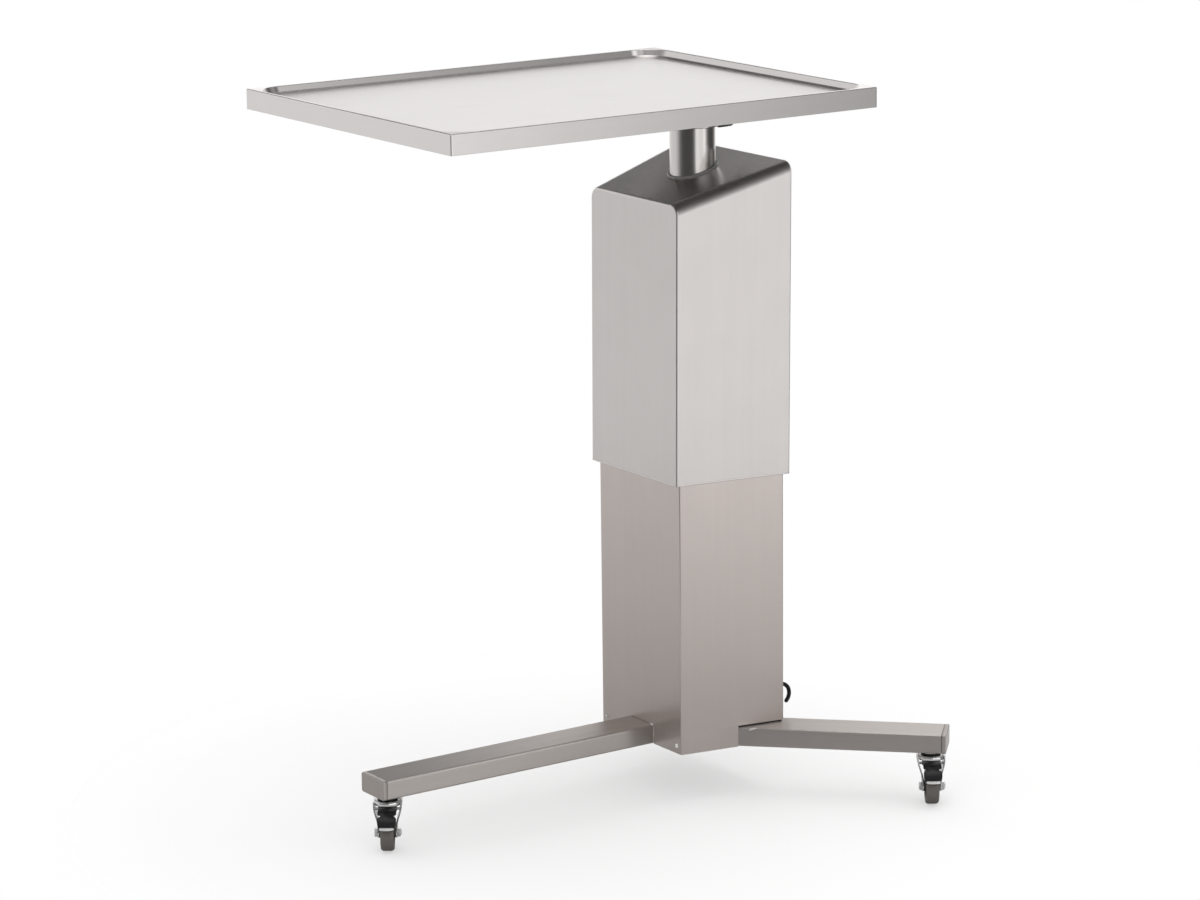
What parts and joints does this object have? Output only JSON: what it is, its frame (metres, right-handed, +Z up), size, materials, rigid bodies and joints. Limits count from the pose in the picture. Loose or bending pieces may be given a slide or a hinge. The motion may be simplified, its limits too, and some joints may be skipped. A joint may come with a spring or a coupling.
{
  "type": "mayo table",
  "caption": "Overhanging stainless instrument tray on a lifting column with a tapering two-part housing and a three-legged base on swivel castors.",
  "frame": {"origin": "on the floor, under the middle of the overall length and width", "axes": "+Z up, +X from the tray's free end towards the column and the rear legs, +Y to the side"},
  "size_m": [0.8784, 0.722, 1.111],
  "materials": {
    "tray_steel": "satin brushed stainless sheet",
    "sleeve_steel": "fine vertical satin brush",
    "shell_steel": "fine satin brush, a little darker",
    "leg_steel": "lengthwise brush",
    "post_steel": "polished round tube",
    "ring_grey": "smooth grey trim",
    "inner_steel": "plain zinc grey",
    "bush_plastic": "natural white",
    "fastener_steel": "bright",
    "black_plastic": "fine moulded black",
    "castor_chrome": "bright plated",
    "wheel_plastic": "moulded dark grey",
    "tyre_grey": "non-marking grey rubber",
    "actuator_grey": "powder coat"
  },
  "bodies": {
    "base": {"lower_shell": "shell_steel", "shell_screws": "fastener_steel", "cable_hook": "black_plastic", "front_leg": "leg_steel", "near_rear_leg": "leg_steel", "far_rear_leg": "leg_steel", "leg_caps": "leg_steel", "base_plate": "inner_steel", "column_bolts": "fastener_steel", "fixed_tube": "inner_steel", "fixed_bush": "bush_plastic", "actuator_motor": "actuator_grey", "actuator_tube": "actuator_grey", "actuator_gland": "bush_plastic", "control_box": "actuator_grey", "stem_nuts": "fastener_steel", "front_castor_stem": "castor_chrome", "near_castor_stem": "castor_chrome", "far_castor_stem": "castor_chrome"},
    "middle_stage": {"middle_tube": "inner_steel", "middle_bushes": "bush_plastic"},
    "lift": {"post": "post_steel", "post_bush": "bush_plastic", "post_plug": "inner_steel", "thrust_washer": "bush_plastic", "post_ring": "ring_grey", "sleeve": "sleeve_steel", "sleeve_carrier": "inner_steel", "glide_pads": "bush_plastic", "actuator_rod": "fastener_steel", "rod_nut": "fastener_steel"},
    "tray": {"tray_pan": "tray_steel", "tray_rails": "tray_steel", "cross_plate": "inner_steel", "tray_socket": "post_steel", "socket_bolts": "fastener_steel"},
    "knob": {"clamp_knob": "black_plastic", "clamp_screw": "fastener_steel"},
    "front_fork": {"front_castor_fork": "castor_chrome", "front_swivel_race": "black_plastic", "front_castor_axle": "castor_chrome", "front_pedal_pin": "castor_chrome"},
    "front_wheel": {"front_wheel_hub": "wheel_plastic", "front_tyre": "tyre_grey"},
    "front_pedal": {"front_brake_pedal": "black_plastic"},
    "near_fork": {"near_castor_fork": "castor_chrome", "near_swivel_race": "black_plastic", "near_castor_axle": "castor_chrome", "near_pedal_pin": "castor_chrome"},
    "near_wheel": {"near_wheel_hub": "wheel_plastic", "near_tyre": "tyre_grey"},
    "near_pedal": {"near_brake_pedal": "black_plastic"},
    "far_fork": {"far_castor_fork": "castor_chrome", "far_swivel_race": "black_plastic", "far_castor_axle": "castor_chrome", "far_pedal_pin": "castor_chrome"},
    "far_wheel": {"far_wheel_hub": "wheel_plastic", "far_tyre": "tyre_grey"},
    "far_pedal": {"far_brake_pedal": "black_plastic"}
  },
  "joints": [
    {"name": "column_lift", "type": "slide", "parent": "base", "child": "lift", "axis": [0, 0, 1], "range_m": [-0.32, 0.02]},
    {"name": "middle_stage_slide", "type": "slide", "parent": "base", "child": "middle_stage", "axis": [0, 0, 1], "range_m": [-0.16, 0.01]},
    {"name": "tray_turn", "type": "hinge", "parent": "lift", "child": "tray", "pos_m": [0.17072, 0, 1.041], "axis": [0, 0, 1], "continuous": true},
    {"name": "clamp_knob_turn", "type": "hinge", "parent": "tray", "child": "knob", "pos_m": [0.22572, 0, 1.0435], "axis": [1, 0, 0], "range_deg": [-360, 0]},
    {"name": "front_swivel", "type": "hinge", "parent": "base", "child": "front_fork", "pos_m": [-0.39478, 0, 0.07], "axis": [0, 0, 1], "continuous": true},
    {"name": "front_wheel_roll", "type": "hinge", "parent": "front_fork", "child": "front_wheel", "pos_m": [-0.40708, -0.01824, 0.028], "axis": [0.829, -0.5592, 0], "continuous": true},
    {"name": "front_pedal_press", "type": "hinge", "parent": "front_fork", "child": "front_pedal", "pos_m": [-0.39981, -0.00746, 0.0604], "axis": [0.829, -0.5592, 0], "range_deg": [0, 6]},
    {"name": "near_swivel", "type": "hinge", "parent": "base", "child": "near_fork", "pos_m": [0.39781, -0.30274, 0.07], "axis": [0, 0, 1], "continuous": true},
    {"name": "near_wheel_roll", "type": "hinge", "parent": "near_fork", "child": "near_wheel", "pos_m": [0.38551, -0.32098, 0.028], "axis": [0.829, -0.5592, 0], "continuous": true},
    {"name": "near_pedal_press", "type": "hinge", "parent": "near_fork", "child": "near_pedal", "pos_m": [0.39278, -0.3102, 0.0604], "axis": [0.829, -0.5592, 0], "range_deg": [0, 6]},
    {"name": "far_swivel", "type": "hinge", "parent": "base", "child": "far_fork", "pos_m": [0.39781, 0.30274, 0.07], "axis": [0, 0, 1], "continuous": true},
    {"name": "far_wheel_roll", "type": "hinge", "parent": "far_fork", "child": "far_wheel", "pos_m": [0.38551, 0.32098, 0.028], "axis": [-0.829, -0.5592, 0], "continuous": true},
    {"name": "far_pedal_press", "type": "hinge", "parent": "far_fork", "child": "far_pedal", "pos_m": [0.39278, 0.3102, 0.0604], "axis": [-0.829, -0.5592, 0], "range_deg": [0, 6]}
  ],
  "couplings": [
    {"joint": "middle_stage_slide", "follows": "column_lift", "ratio": 0.5}
  ]
}
